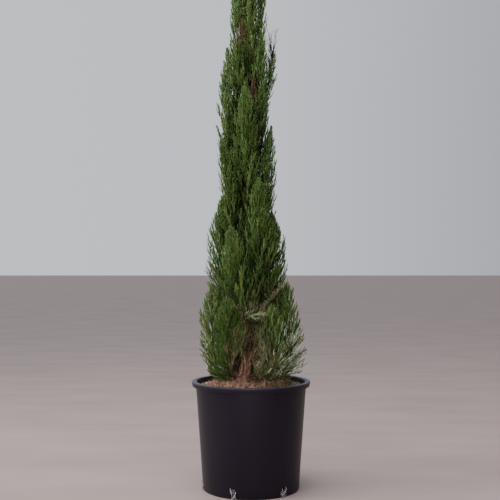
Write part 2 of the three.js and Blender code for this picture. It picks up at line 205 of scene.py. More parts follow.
# Bare twigs that stand out of the small plume on the right
BARE = Values(
    count=16, start=(0.5, 0.85), longest=0.14, shortest=0.06, left=0.05, lean=0.17, bend=0.12, width=0.0021,
    taper=0.35, rings=7, sides=4, side_twigs=6, side_places=(0.3, 0.95), side_share=0.2, side_lean=0.55,
    side_width=0.3, side_sides=3,
)

# A pale sprig that lies across the gap at the front, and a cut bough's stub
SPRIG = Values(
    path=[(-0.03, 0.0, 0.55), (-0.05, -0.07, 0.582), (-0.03, -0.115, 0.588), (0.015, -0.125, 0.592)],
    radius=0.0016, taper=0.4, rings=16, sides=5, sprays=18, start=0.4, length=0.042, fan=0.8, play=0.15,
    colour=(0.32, 0.45, 0.21),
)
STUB = Values(
    start=(-0.032, -0.004, 0.505), end=(-0.035, -0.08, 0.527), radius=0.0052, wood=0.0008,
    wood_radius=0.9, rings=6, sides=10,
)

# Most triangles in one piece of foliage
PIECE_LIMIT = 190000

# How sprays are dealt their tints: painted light makes higher sprays fresher, and painted shade gives inner
# sprays the deep tint
TINT_RULE = Values(
    tipward=0.3, spray_play=0.25, fresh_over=0.74, olive_under=0.14, olive_low=0.2, low=0.62,
    moods=(-0.16, 0.48), deep_under=(0.8, 0.42), deep_play=0.3,
)

# Places in the crown with sprays of one tint among the rest: tint, middle, half-sizes and share
PLACES = [
    # Pale places: painted highlight on low sprays
    ("pale", (0.15, -0.09, 0.45), (0.085, 0.13, 0.15), 0.6),
    ("olive", (-0.01, -0.05, 1.6), (0.035, 0.08, 0.26), 0.4),
    ("dark", (-0.1, -0.13, 0.48), (0.11, 0.14, 0.19), 0.85),
    ("dark", (0.08, -0.13, 0.5), (0.08, 0.1, 0.12), 0.35),
    ("pale", (-0.17, -0.06, 0.42), (0.05, 0.1, 0.17), 0.3),
    ("pale", (0.06, -0.12, 0.42), (0.06, 0.08, 0.08), 0.22),
    ("dull", (0.03, -0.1, 0.43), (0.07, 0.12, 0.12), 0.7),
    ("dry", (-0.02, -0.09, 0.45), (0.06, 0.14, 0.13), 0.5),
    ("brown", (0.008, -0.05, 1.32), (0.014, 0.06, 0.06), 0.8),
    ("brown", (-0.034, -0.03, 1.5), (0.016, 0.06, 0.06), 0.6),
]

# Places with fewer sprays, given alike: the trunk's foot, a thin part high on the left, and the top of the
# plume aside. A place takes fewer towards its edge.
CLEARINGS = [
    ((-0.036, -0.12, 0.405), (0.03, 0.12, 0.06), 1.5),
    ((-0.025, -0.1, 0.37), (0.062, 0.12, 0.05), 1.5),
    ((-0.045, 0.0, 1.51), (0.018, 0.07, 0.06), 1.0),
    ((0.07, 0.02, 1.49), (0.03, 0.05, 0.06), 0.85),
    ((0.094, 0.02, 1.41), (0.017, 0.05, 0.07), 0.75),
]
PLACE_FADE = 1.5

# Tints of the foliage, in linear colour: deep is painted shade inside the crown, pale is painted highlight
TINTS = {
    "deep": (0.036, 0.08, 0.013),
    "dark": (0.056, 0.115, 0.018),
    "mid": (0.088, 0.168, 0.032),
    "fresh": (0.15, 0.265, 0.066),
    "olive": (0.18, 0.235, 0.056),
    "pale": (0.46, 0.52, 0.36),
    "dull": (0.17, 0.18, 0.08),
    "dry": (0.27, 0.2, 0.11),
    "brown": (0.2, 0.1, 0.055),
}
TINT_SHADES = (0.8, 1.2)

# Waves of the bark's ridges round a limb, each with its share, and how the ridges wander and break along it
FIBRES = Values(
    waves=((5, 0.3), (9, 0.3), (14, 0.22), (23, 0.18)), paces=(12, 30), wander=1.6, finer_wander=0.7,
    finer_pace=3.1, breaks=0.25, break_pace=5.3,
)

# Barks and what looks like them: how fine the grain is, and its colours
BARKS = {
    "bark": (90, (0.24, 0.09, 0.06), (0.56, 0.27, 0.19), (0.85, 0.58, 0.46)),
    "twig_bark": (120, (0.03, 0.02, 0.01), (0.11, 0.075, 0.04)),
    "strip_bark": (70, (0.22, 0.09, 0.06), (0.42, 0.21, 0.145), (0.68, 0.46, 0.36)),
    "dark_chip": (60, (0.09, 0.05, 0.033), (0.24, 0.145, 0.09)),
    "tan_chip": (60, (0.26, 0.165, 0.11), (0.48, 0.35, 0.26)),
    "litter": (110, (0.26, 0.13, 0.075), (0.72, 0.48, 0.33)),
    "root": (170, (0.28, 0.25, 0.25), (0.78, 0.73, 0.73)),
}

# Where two or three colours of a grain lie between its darkest and its lightest
GRAIN_PLACES = {2: (0.3, 0.7), 3: (0.3, 0.5, 0.72)}

# Painted highlight on the rim's top, painted shade low in the compost and over its right
PAINTED_RIM_HIGHLIGHT = Values(low=0.0035, high=0.0005, colour=(0.022, 0.021, 0.027))
PAINTED_SLOT_SHADE = Values(low=0.01, high=0.06, colour=(0.07, 0.06, 0.06))
PAINTED_COMPOST_SHADE = Values(end=-0.14, damp_from=-0.04, damp_colour=(0.5, 0.46, 0.43))

# Headings that point along the Y axis by more than this get their sideways directions from the X axis
NEAR_Y = 0.8

# Half the width of the floor under the pot
STAGE_REACH = 60


# Repeatable numbers from 0 to 1, as in the source
def seeded(seed):
    state = seed

    def draw():
        nonlocal state
        state = (state * 1664525 + 1013904223) % 2**32
        return state / 2**32

    for _ in range(4):
        draw()
    return draw


def about(value, play, random):
    return value + play * (random() - 0.5)


def all_about(value, play, count, random):
    return value + play * (random.random(count) - 0.5)


def lerp(a, b, share):
    return a + (b - a) * share


def unit(vectors):
    return vectors / np.linalg.norm(vectors, axis=-1, keepdims=True)


# Angles set evenly over a whole turn
def even_angles(count):
    return TURN * np.arange(count) / count


# Points about the Z axis
def polar(radius, angles, z):
    return np.stack(np.broadcast_arrays(radius * np.cos(angles), radius * np.sin(angles), z), axis=-1)


# Directions turned by angles from the first towards the second
def turned(first, second, angles):
    return first * np.cos(angles)[:, None] + second * np.sin(angles)[:, None]


# The trunk's middle line and radius
def trunk_point(z):
    z = np.asarray(z, float)
    rise = z - GROUND
    settled = 1 - np.exp(-((rise / LEAN.crown_fade) ** 2))
    x = LEAN.foot * np.exp(-rise / LEAN.foot_fade) + LEAN.crown * settled
    return np.stack([x, SWAY.width * np.sin(rise / SWAY.length), z], axis=-1)


def trunk_radius(z):
    share = np.clip((z - GROUND) / (TRUNK_TOP - GROUND), 0, 1)
    flare = FLARE.width * np.exp(-(z - GROUND) / FLARE.fade)
    return GIRTH.tip + GIRTH.foot * (1 - share) ** GIRTH.taper + flare


def crown_radius(z):
    return np.interp(z, CROWN[:, 0], CROWN[:, 1])


def crown_middle(z):
    return np.interp(z, CROWN[:, 0], CROWN[:, 2])


# How far out in the crown points are, from 0 at its middle to 1 at its outline
def outwardness(points):
    z = points[:, 2]
    return np.hypot(points[:, 0] - crown_middle(z), points[:, 1]) / crown_radius(z)


def bezier(line, t):
    t = np.asarray(t, float)[..., None]
    s = 1 - t
    a, b, c, d = line
    return a * s**3 + b * 3 * s**2 * t + c * 3 * s * t**2 + d * t**3


def bezier_heading(line, t):
    return unit(bezier(line, t + HEADING_SHARE) - bezier(line, t - HEADING_SHARE))


# How full a plume is at a share of its line, which is 0 at its foot and 1 at its tip
def fullness(share):
    return np.sin(math.pi * np.clip(share, 0, 1) ** SWELL.early) ** SWELL.blunt


class Plume:
    """One mass of foliage: its middle line, its girth, and the bare share of its line, which is its bough."""

    def __init__(self, name, line, radius, bare):
        self.name = name
        self.line = np.array(line)
        self.radius = radius
        self.bare = bare
        shares = np.linspace(0, 1, SPACE.samples + 1)
        self.points = self.point(shares)
        self.radii = radius * np.maximum(fullness(shares), SWELL.least)
        self.length = np.linalg.norm(np.diff(self.points, axis=0), axis=1).sum()

    def point(self, share):
        return bezier(self.line, lerp(self.bare, 1, share))

    def heading(self, share):
        return bezier_heading(self.line, lerp(self.bare, 1, share))

    def bough_radius(self, share):
        thick = BOUGH.of_trunk * trunk_radius(self.line[0][2] + BOUGH.above) + BOUGH.least
        return lerp(thick, BOUGH.taper * thick, share)


def plume_line(foot, tip, azimuth, reach, tip_reach, rule):
    def at(rise, width):
        z = lerp(foot, tip, rise)
        return [crown_middle(z) + width * math.cos(azimuth), width * math.sin(azimuth), z]

    return [
        trunk_point(foot),
        at(rule.lift, reach * rule.spread),
        at(SHOULDER_RISE, reach * rule.shoulder),
        at(1, tip_reach),
    ]


def ring_plumes():
    step = (TURN - RING.gap) / (RING.count - 1)
    crown = crown_radius(RING.girth_height)
    radius = RING.width * crown
    for i in range(RING.count):
        random = seeded(SEED.ring + SEED.step * i)
        azimuth = about(RING.gap_middle + RING.gap / 2 + i * step, RING.turn_play, random)
        tip = about(RING.tip, RING.tip_play, random)
        foot = RING.foot + RING.foot_step * (i % 2)
        line = plume_line(foot, tip, azimuth, crown - radius, crown_radius(tip) - RING.tip_inset, RING)
        yield Plume(f"plume_low_{i + 1}", line, radius, RING.bare)


def spiral_plumes():
    for i in range(SPIRAL.count):
        random = seeded(SEED.spiral + SEED.step * i)
        share = i / (SPIRAL.count - 1)
        azimuth = about(SPIRAL.start + i * GOLDEN_ANGLE, SPIRAL.turn_play, random)
        tip = about(lerp(*SPIRAL.tips, share), SPIRAL.tip_play, random)
        length = lerp(*SPIRAL.lengths, share) * about(1, SPIRAL.length_play, random)
        foot = max(tip - SPIRAL.foot_share * length, SPIRAL.foot + SPIRAL.foot_step * i)
        crown = crown_radius(tip - length / 2)
        radius = SPIRAL.width * crown
        tip_reach = crown_radius(tip) * lerp(*SPIRAL.tip_reach, random())
        line = plume_line(foot, tip, azimuth, crown - radius, tip_reach, SPIRAL)
        yield Plume(f"plume_{i + 1}", line, radius, SPIRAL.bare)


def aside_plume():
    line = plume_line(ASIDE.foot, ASIDE.tip, ASIDE.azimuth, ASIDE.reach, ASIDE.tip_reach, ASIDE)
    return Plume("plume_aside", line, ASIDE.radius, ASIDE.bare)


def leader_plume():
    start = trunk_point(TRUNK_TOP) + UP * GAP
    line = [start + UP * share * (TREE_TOP - start[2]) for share in (0, 1 / 3, 2 / 3, 1)]
    return Plume("plume_leader", line, LEADER_RADIUS, 0)


PLUMES = [*ring_plumes(), *spiral_plumes(), aside_plume(), leader_plume()]
WITH_BOUGH = [plume for plume in PLUMES if plume.bare > 0]
ASIDE_INDEX = len(PLUMES) - 2


# Whether points are clear of the soil, the pot's rim and the trunk
def clear_of_limbs(points):
    over_rim = np.hypot(points[:, 0], points[:, 1]) > NECK_RADIUS - WALL - SPACE.rim
    floor = np.where(over_rim, POT_HEIGHT + SPACE.rim, GROUND + SPACE.soil)
    z = np.clip(points[:, 2], GROUND, TRUNK_TOP)
    from_trunk = np.linalg.norm(points - trunk_point(z), axis=1)
    return (points[:, 2] > floor) & (from_trunk > trunk_radius(z) + SPACE.limb)


# How far points are from their own plume's middle line, as a share of the plume's radius there
def space_share(points, owners):
    shares = np.zeros(len(points))
    for index, plume in enumerate(PLUMES):
        own = owners == index
        away = np.linalg.norm(points[own][:, None] - plume.points[None], axis=2)
        shares[own] = (away / plume.radii).min(axis=1)
    return shares


def in_space(points, owners, reach):
    limit = np.where(owners == SKIRT, SPACE.skirt, SPACE.outline)
    in_outline = (outwardness(points) <= limit) | (owners == ASIDE_INDEX)
    return (space_share(points, owners) <= reach) & clear_of_limbs(points) & in_outline


# Two directions square to each heading
def sideways(headings):
    along_y = np.abs(headings[..., 1:2]) > NEAR_Y
    reference = np.where(along_y, [1.0, 0.0, 0.0], [0.0, 1.0, 0.0])
    first = unit(np.cross(headings, reference))
    return first, unit(np.cross(headings, first))


# The faces of many like shapes, each with its own corners
def copies(faces, count, corners):
    return (faces[None] + corners * np.arange(count)[:, None, None]).reshape(-1, faces.shape[1])


# The faces between rings of corners
def ring_quads(rings, sides):
    ring = np.arange(rings - 1)[:, None] * sides
    side = np.arange(sides)[None]
    after = (side + 1) % sides
    quads = [ring + side, ring + after, ring + after + sides, ring + side + sides]
    return np.stack(quads, axis=-1).reshape(-1, 4)


# The faces of closed tubes: those between their rings, and a cap at each end
def tube_faces(rings, sides, count=1):
    side = np.arange(sides)
    caps = np.stack([side[::-1], (rings - 1) * sides + side])
    return [copies(faces, count, rings * sides) for faces in (ring_quads(rings, sides), caps)]


# Lines made solid: many closed tubes at once, from their first points, their second points and so on
def tubes(steps, radii, sides):
    points = np.stack(steps, axis=1)
    count, rings, _ = points.shape
    radii = np.broadcast_to(radii, (count, rings))
    headings = np.gradient(points, axis=1)
    mean = np.repeat(unit(headings.mean(axis=1))[:, None], rings, axis=1)
    first, _ = sideways(mean)
    headings = unit(headings)
    first = unit(first - headings * (first * headings).sum(axis=2, keepdims=True))
    second = np.cross(headings, first)
    outward = turned(first[:, :, None], second[:, :, None], even_angles(sides))
    corners = points[:, :, None] + radii[:, :, None, None] * outward
    return corners.reshape(-1, 3), tube_faces(rings, sides, count)


# Slim three-edged spikes, many at once
SPIKE_FACES = np.array([[2, 1, 0], [0, 1, 3], [1, 2, 3], [2, 0, 3]])


def spikes(roots, tips, widths, turns):
    first, second = sideways(unit(tips - roots))
    corners = [
        roots + widths[:, None] / 2 * turned(first, second, turns + TURN * corner / 3) for corner in range(3)
    ]
    points = np.stack([*corners, tips], axis=1)
    return points.reshape(-1, 3), [copies(SPIKE_FACES, len(roots), 4)]


def joined(parts):
    points = []
    faces = []
    offset = 0
    for part_points, part_faces in parts:
        points.append(part_points)
        faces += [group + offset for group in part_faces]
        offset += len(part_points)
    return np.concatenate(points), faces


def into_scene(name, data):
    thing = bpy.data.objects.new(name, data)
    bpy.context.scene.collection.objects.link(thing)
    return thing


# A mesh object from arrays of points and of faces, each array of faces with its own number of corners
def mesh_piece(name, points, face_groups, material, slot, smooth=True):
    mesh = bpy.data.meshes.new(name)
    faces = [face for group in face_groups for face in group.tolist()]
    mesh.from_pydata(points.tolist(), [], faces, shade_flat=not smooth)
    mesh.validate()
    mesh.materials.append(material)
    piece = into_scene(name, mesh)
    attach(piece, "root")
    return piece


# Groups of arrays joined by name
def merged(groups):
    return {name: np.concatenate([group[name] for group in groups]) for name in groups[0]}


def picked(group, kept):
    return {name: values[kept] for name, values in group.items()}


# Lengths made shorter step by step where their ends don't fit yet
def cut_back(lengths, fits, rule):
    for _ in range(rule.tries):
        lengths = np.where(fits(lengths), lengths, lengths * rule.shorter)
    return lengths


# Foliage: twigs by the source's rule for sprays, closer together
def grow_twigs():
    random = default_rng(SEED.twigs)
    stems = []
    for index, plume in enumerate(PLUMES):
        usual = TWIG.high_density if index >= TWIG.high_from else 1
        density = TWIG.density.get(plume.name, usual)
        count = round(density * TWIG.per_area * plume.length * (plume.radius + TWIG.extra))
        share = lerp(TWIG.start, TWIG.end, (np.arange(count) + 0.5) / count)
        stems.append(
            {
                "owners": np.full(count, index),
                "shares": share,
                "turns": np.arange(count) * GOLDEN_ANGLE,
                "roots": plume.point(share),
                "headings": plume.heading(share),
                "girths": np.full(count, plume.radius),
            }
        )
    owners, shares, turns, roots, headings, girths = merged(stems).values()
    count = len(owners)
    turns = turns + TWIG.turn_play * random.random(count)
    out = turned(*sideways(headings), turns)
    low = owners < RING.count
    leans = np.where(low, lerp(*TWIG.low_leans, shares), lerp(*TWIG.leans, shares))
    leans *= all_about(1, TWIG.play, count, random)
    along = turned(headings, out, leans)
    along = unit(along + UP * np.where(low, TWIG.low_lift, TWIG.lift)[:, None])
    lengths = girths * lerp(*TWIG.lengths, shares)
    lengths *= all_about(1, TWIG.play, count, random)
    reach = random.uniform(*SPACE.reach, count)

    def fits(lengths):
        return in_space(twig_point(roots, along, lengths, 1.0), owners, reach)

    lengths = cut_back(lengths, fits, TWIG)
    twigs = dict(owners=owners, reach=reach, shares=shares, roots=roots, along=along, lengths=lengths)
    return picked(twigs, lengths > TWIG.shortest)


# Twigs straight off the trunk, which belong to no plume
def grow_trunk_twigs():
    random = default_rng(SEED.inner)
    groups = []
    for kind, (count, heights, turns, leans, reach, *_) in enumerate(TRUNK_TWIGS):
        z = lerp(*heights, (np.arange(count) + random.random(count)) / count)
        start, end = np.radians(turns)
        turns = start + (np.arange(count) * GOLDEN_ANGLE % TURN) * (end - start) / TURN
        out = polar(1, turns, 0)
        leans = random.uniform(*leans, count)
        off_middle = crown_middle(z) - trunk_point(z)[:, 0]
        groups.append(
            {
                "owners": np.full(count, -1 - kind),
                "reach": np.ones(count),
                "shares": np.zeros(count),
                "roots": trunk_point(z) + out * (TRUNK_TWIG_ROOT * trunk_radius(z))[:, None],
                "along": turned(UP, out, leans),
                "lengths": (crown_radius(z) + off_middle * np.cos(turns)) * random.uniform(*reach, count),
            }
        )
    return merged(groups)


def twig_point(roots, along, lengths, share):
    share = np.reshape(share, (-1, 1))
    reach = lengths[:, None] * share
    return roots + along * reach + UP * TWIG.bend * reach * share


# Sprays leave each twig in turn, longest near its foot
def grow_sprays(twigs):
    random = default_rng(SEED.sprays)
    counts = np.round(twigs["lengths"] * (1 - SPRAY.start) / SPRAY.spacing)
    counts = np.maximum(SPRAY.least, counts).astype(int)
    twig = np.repeat(np.arange(len(counts)), counts)
    count = len(twig)
    order = np.arange(count) - np.repeat(np.cumsum(counts) - counts, counts)
    share = lerp(SPRAY.start, 1, (order + SPRAY.offset) / counts[twig])
    stem = picked(twigs, twig)
    roots = twig_point(stem["roots"], stem["along"], stem["lengths"], share)
    headings = unit(stem["along"] + UP * 2 * TWIG.bend * share[:, None])
    out = turned(*sideways(headings), order * GOLDEN_ANGLE + twig)
    leans = all_about(SPRAY.lean, SPRAY.lean_play, count, random)
    leans = np.where(order == counts[twig] - 1, SPRAY.last_lean, leans)
    along = unit(turned(headings, out, leans) + UP * SPRAY.lift)
    lengths = lerp(*SPRAY.lengths, share) * all_about(1, SPRAY.play, count, random)
    owners = stem["owners"]
    reach = stem["reach"] + SPACE.past_tip

    def fits(lengths):
        return in_space(roots + along * lengths[:, None], owners, reach)

    lengths = cut_back(lengths, fits, SPRAY)
    kept = (lengths > SPRAY.shortest) & fits(lengths)
    deep = outwardness(roots) < SPRAY.deep_under
    kept &= ~deep | (random.random(count) < SPRAY.deep_kept)
    for clearing in CLEARINGS:
        kept &= ~taken_by(roots, random, *clearing)
    sprays = dict(owners=owners, twigs=twig, plume_shares=stem["shares"], roots=roots, along=along)
    return picked({**sprays, "lengths": lengths}, kept)


# Which points a place takes, fewer towards its edge
def taken_by(points, random, middle, size, share):
    away = (((points - middle) / size) ** 2).sum(axis=1)
    return random.random(len(points)) < share * np.clip(PLACE_FADE * (1 - away), 0, 1)


# Each spray's tint: deep inside the crown, as painted shade, and outside it by twig, by nearness to a plume's
# tip, and by height, higher sprays turning fresher as painted light
def tint_of(sprays):
    random = default_rng(SEED.tints)
    points = sprays["roots"]
    z = points[:, 2]
    chance = random.random(len(z))
    mood = random.random(sprays["twigs"].max() + 1)[sprays["twigs"]]
    mood = mood + TINT_RULE.spray_play * (chance - 0.5) + TINT_RULE.tipward * (sprays["plume_shares"] - 0.5)
    rise = np.clip((z - TINT_RULE.low) / (TREE_TOP - TINT_RULE.low), 0, 1)
    # Painted light: higher sprays turn fresher and lighter
    mood = mood + lerp(*TINT_RULE.moods, rise)
    names = np.where(mood > TINT_RULE.fresh_over, "fresh", "mid")
    olive_under = np.where(z < TINT_RULE.low, TINT_RULE.olive_low, TINT_RULE.olive_under)
    names = np.where(mood < olive_under, "olive", names)
    # Painted shade: sprays inside the crown take the dark deep tint, more of them low down
    deep_under = lerp(*TINT_RULE.deep_under, rise)
    names = np.where(outwardness(points) + TINT_RULE.deep_play * chance < deep_under, "deep", names)
    for kind, (*_, (first, first_share), (second, second_share)) in enumerate(TRUNK_TWIGS):
        dealt = np.where(chance < first_share + second_share, second, "deep")
        dealt = np.where(chance < first_share, first, dealt)
        names = np.where(sprays["owners"] == -1 - kind, dealt, names)
    for tint, *place in PLACES:
        names = np.where(taken_by(points, random, *place), tint, names)
    return names


# The cords of sprays: a spine and side cords that shorten towards its tip
def cord_spikes(sprays, chosen, cords, random):
    roots = sprays["roots"][chosen]
    along = sprays["along"][chosen]
    lengths = sprays["lengths"][chosen]
    count = len(roots)
    across = turned(*sideways(along), random.uniform(0, TURN, count))
    through = np.cross(along, across)
    all_roots = [roots]
    all_tips = [roots + along * lengths[:, None]]
    for k in range(cords.count):
        share = lerp(CORD.start, CORD.end, (k + random.random(count)) / cords.count)
        side = 1 if k % 2 else -1
        out = unit(across * side + through * (CORD.twist * random.normal(size=count)[:, None]))
        heading = turned(along, out, all_about(CORD.lean, CORD.lean_play, count, random))
        length = lengths * lerp(CORD.share, CORD.tip_share, share) * all_about(1, CORD.play, count, random)
        root = roots + along * (lengths * share)[:, None]
        all_roots.append(root)
        all_tips.append(root + heading * length[:, None])
    roots = np.concatenate(all_roots)
    widths = cords.width * random.uniform(*CORD.widths, len(roots))
    return spikes(roots, np.concatenate(all_tips), widths, random.uniform(0, TURN, len(roots)))


def make_foliage(twigs, materials):
    sprays = grow_sprays(twigs)
    tints = tint_of(sprays)
    random = default_rng(SEED.cords)
    heights = sprays["roots"][:, 2]
    for tint in TINTS:
        cords = SHADED_CORDS if tint == "deep" else FINE_CORDS
        spray_faces = len(SPIKE_FACES) * (cords.count + 1)
        chosen = np.flatnonzero(tints == tint)
        chosen = chosen[np.argsort(heights[chosen], kind="stable")]
        parts = math.ceil(len(chosen) * spray_faces / PIECE_LIMIT)
        for part, sprays_in_part in enumerate(np.array_split(chosen, parts), 1):
            leaves = cord_spikes(sprays, sprays_in_part, cords, random)
            mesh_piece(f"foliage_{tint}_{part}", *leaves, materials[tint], "foliage")


# Twigs and the stem that each plume's bough carries on as
def make_twigs(twigs, material):
    shares = np.linspace(0, 1, TWIG.rings)
    steps = [twig_point(twigs["roots"], twigs["along"], twigs["lengths"], share) for share in shares]
    parts = [tubes(steps, lerp(TWIG.foot_radius, TWIG.tip_radius, shares), TWIG.sides)]
    along = np.linspace(0, STEM.end, STEM.rings)
    for plume in PLUMES:
        radii = lerp(plume.bough_radius(1), STEM.tip_radius, along**STEM.taper)
        parts.append(tubes(plume.point(along)[:, None], radii, STEM.sides))
    piece = mesh_piece("twigs", *joined(parts), material, "bark")
    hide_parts(*[plume.name for plume in PLUMES])


# The bark's relief at angles round a limb and heights along it: stringy ridges that wander
def fibres(angles, heights, random):
    relief = np.zeros(np.broadcast(angles, heights).shape)
    for waves, share in FIBRES.waves:
        phase = random.uniform(0, TURN)
        pace = random.uniform(*FIBRES.paces)
        wander = FIBRES.wander * np.sin(heights * pace + phase)
        wander = wander + FIBRES.finer_wander * np.sin(heights * pace * FIBRES.finer_pace + 2 * phase)
        breaks = FIBRES.breaks * np.sin(heights * pace * FIBRES.break_pace + waves * angles + phase)
        relief += share * (1 - FIBRES.breaks + breaks) * np.sin(waves * angles + wander + phase)
    return relief


def make_trunk(material):
    random = default_rng(SEED.trunk)
    sides = TRUNK_MESH.sides
    foot = np.linspace(0, TRUNK_MESH.foot, TRUNK_MESH.foot_rings)
    rest = np.linspace(TRUNK_MESH.foot, TRUNK_TOP - GROUND - GAP, TRUNK_MESH.rings)[1:]
    rises = np.concatenate([foot, rest])
    z = GROUND + GAP + rises
    angles = even_angles(sides)
    lobes = FLARE.lobe_depth * np.exp(-rises / FLARE.fade)[:, None]
    smooth = trunk_radius(z)[:, None]
    depth = TRUNK_MESH.relief * smooth + TRUNK_MESH.least_relief
    radius = smooth * (1 + lobes * np.cos(FLARE.lobes * angles)) + depth * fibres(angles, z[:, None], random)
    points = trunk_point(z)[:, None] + polar(radius, angles, 0)
    piece = mesh_piece("trunk_bark", points.reshape(-1, 3), tube_faces(len(z), sides), material, "bark")
    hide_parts("trunk")


def make_boughs(material):
    random = default_rng(SEED.boughs)
    sides = BOUGH_MESH.sides
    parts = []
    for plume in WITH_BOUGH:
        shares = np.linspace(0, plume.bare * BOUGH_MESH.past, BOUGH_MESH.rings)
        points = bezier(plume.line, shares)
        corners, faces = tubes(points[:, None], plume.bough_radius(shares / plume.bare), sides)
        middle = np.repeat(points, sides, axis=0)
        angles = np.tile(even_angles(sides), len(shares))
        heights = np.repeat(shares, sides) * BOUGH_MESH.stretch + random.uniform(0, BOUGH_MESH.shift)
        swell = 1 + BOUGH_MESH.relief * fibres(angles, heights, random)
        parts.append((middle + (corners - middle) * swell[:, None], faces))
    piece = mesh_piece("bough_bark", *joined(parts), material, "bark")
    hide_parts(*[plume.name.replace("plume", "bough") for plume in WITH_BOUGH])


# Points of an arc about a centre, from one angle to another
def arc(centre, radius, start, end, steps=5):
    angles = np.radians(np.linspace(start, end, steps + 1))
    return [(centre[0] + radius * math.cos(a), centre[1] + radius * math.sin(a)) for a in angles]


# A surface turned about the pot's axis, with a point on the axis at each end
def lathe(profile, sides):
    profile = np.array(profile)
    rings = profile[1:-1]
    points = polar(rings[:, :1], even_angles(sides), rings[:, 1:]).reshape(-1, 3)
    low, high = len(points), len(points) + 1
    last = low - sides
    side = np.arange(sides)
    after = (side + 1) % sides
    caps = [(after, side, np.full(sides, low)), (last + side, last + after, np.full(sides, high))]
    caps = np.concatenate([np.stack(cap, axis=1) for cap in caps])
    ends = [[0, 0, profile[0, 1]], [0, 0, profile[-1, 1]]]
    return np.concatenate([points, ends]), [ring_quads(len(rings), sides), caps]


def pot_profile():
    under = POT_HEIGHT - LIP_DROP
    skirt = WALL / 2
    step = under - MOULD_STEP.drop
    inner = NECK_RADIUS - WALL

    def wall_at(z):
        return lerp(BASE_RADIUS, NECK_RADIUS, (z - BASE_ROUND) / (under - BASE_ROUND))

    return [
        (0, 0),
        (FLOOR_MIDDLE, 0),
        *arc((BASE_RADIUS - BASE_ROUND, BASE_ROUND), BASE_ROUND, -90, 0),
        (wall_at(step) - MOULD_STEP.depth, step),
        (wall_at(step), step + MOULD_STEP.height),
        (NECK_RADIUS, under),
        (NECK_RADIUS, POT_HEIGHT - WALL),
        (RIM_RADIUS - LIP_DRAFT - WALL, POT_HEIGHT - WALL),
        *arc((RIM_RADIUS - LIP_DRAFT - skirt, under + skirt), skirt, -180, 0),
        *arc((RIM_RADIUS - LIP_ROLL, POT_HEIGHT - LIP_ROLL), LIP_ROLL, 0, 90, 8),
        *arc((inner + WALL, POT_HEIGHT - WALL), WALL, 90, 180),
        (BASE_RADIUS - WALL, FLOOR),
        (FLOOR_MIDDLE, FLOOR),
        (0, FLOOR),
    ]


# One drain slot's cutter: an arched outline carried straight through wall and floor
def slot_cutter(angle):
    half = SLOT.width / 2
    top = SLOT.height - SLOT.round
    outline = [
        (-half, -FLOOR),
        (half, -FLOOR),
        *arc((half - SLOT.round, top), SLOT.round, 0, 90),
        *arc((SLOT.round - half, top), SLOT.round, 90, 180),
    ]
    outward = np.array([math.cos(angle), math.sin(angle), 0])
    across = np.cross(UP, outward)
    ends = (BASE_RADIUS - SLOT.depth, BASE_RADIUS + SLOT.depth)
    points = [outward * end + across * x + UP * z for end in ends for x, z in outline]
    count = len(outline)
    faces = [tuple(reversed(range(count))), tuple(range(count, 2 * count))]
    faces += [(i, (i + 1) % count, (i + 1) % count + count, i + count) for i in range(count)]
    mesh = bpy.data.meshes.new("slot_cutter")
    mesh.from_pydata(points, [], faces)
    return into_scene("slot_cutter", mesh)


def slot_angles():
    return [SLOT.first + TURN * i / SLOT.count for i in range(SLOT.count)]


def make_pot(material):
    pot = mesh_piece("pot_shell", *lathe(pot_profile(), POT_SIDES), material, "pot_plastic")
    cutters = [slot_cutter(angle) for angle in slot_angles()]
    for cutter in cutters:
        cut = pot.modifiers.new("slot", "BOOLEAN")
        cut.operation = "DIFFERENCE"
        cut.solver = "EXACT"
        cut.object = cutter
    evaluated = pot.evaluated_get(bpy.context.evaluated_depsgraph_get())
    shell = bpy.data.meshes.new_from_object(evaluated)
    pot.modifiers.clear()
    pot.data = shell
    shell.set_sharp_from_angle(angle=SHARP_ANGLE)
    for cutter in cutters:
        bpy.data.objects.remove(cutter)
    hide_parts("pot")


def compost_radius(z):
    share = (z - FLOOR) / (POT_HEIGHT - FLOOR)
    return lerp(BASE_RADIUS, NECK_RADIUS, share) - WALL - COMPOST.play


# Uneven heights over the compost, from a few crossing waves
def lumps(x, y):
    random = default_rng(SEED.ground)
    total = np.zeros(np.shape(x))
    for pace in LUMPS.paces:
        angle = random.uniform(0, TURN)
        ahead = x * math.cos(angle) + y * math.sin(angle)
        aside = y * math.cos(angle) - x * math.sin(angle)
        wander = LUMPS.wander * np.sin(aside * pace * LUMPS.wander_pace)
        total += np.sin(ahead * pace + wander) * (LUMPS.paces[0] / pace) ** LUMPS.fade
    return total / LUMPS.size


# How near to the trunk's foot a place is, up to 1
def near_foot(x, y, width):
    foot = trunk_point(GROUND)
    return np.exp(-(((x - foot[0]) ** 2 + (y - foot[1]) ** 2) / width**2))


# The compost's top at a place, heaped a little against the trunk
def compost_top(x, y):
    shore = compost_radius(GROUND - COMPOST.slope_drop)
    inward = np.clip((shore - np.hypot(x, y)) / COMPOST.slope_width, 0, 1)
    heap = HEAP.height * near_foot(x, y, HEAP.width)
    return GROUND - COMPOST.slope_drop * (1 - inward) + COMPOST.rough * lumps(x, y) * inward + heap


def make_compost(material):
    shore = GROUND - COMPOST.slope_drop
    side = [(compost_radius(z), z) for z in np.linspace(COMPOST_LOW, shore, COMPOST.side_rings)]
    shares = np.linspace(0, 1, COMPOST.rings)[1:-1]
    top = [(compost_radius(shore) * (1 - share), GROUND) for share in shares]
    points, faces = lathe([(0, COMPOST_LOW), *side, *top, (0, GROUND)], COMPOST.sides)
    surface = points[:, 2] > shore
    points[surface, 2] = compost_top(points[surface, 0], points[surface, 1])
    piece = mesh_piece("compost_fill", points, faces, material, "compost")
    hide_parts("compost")


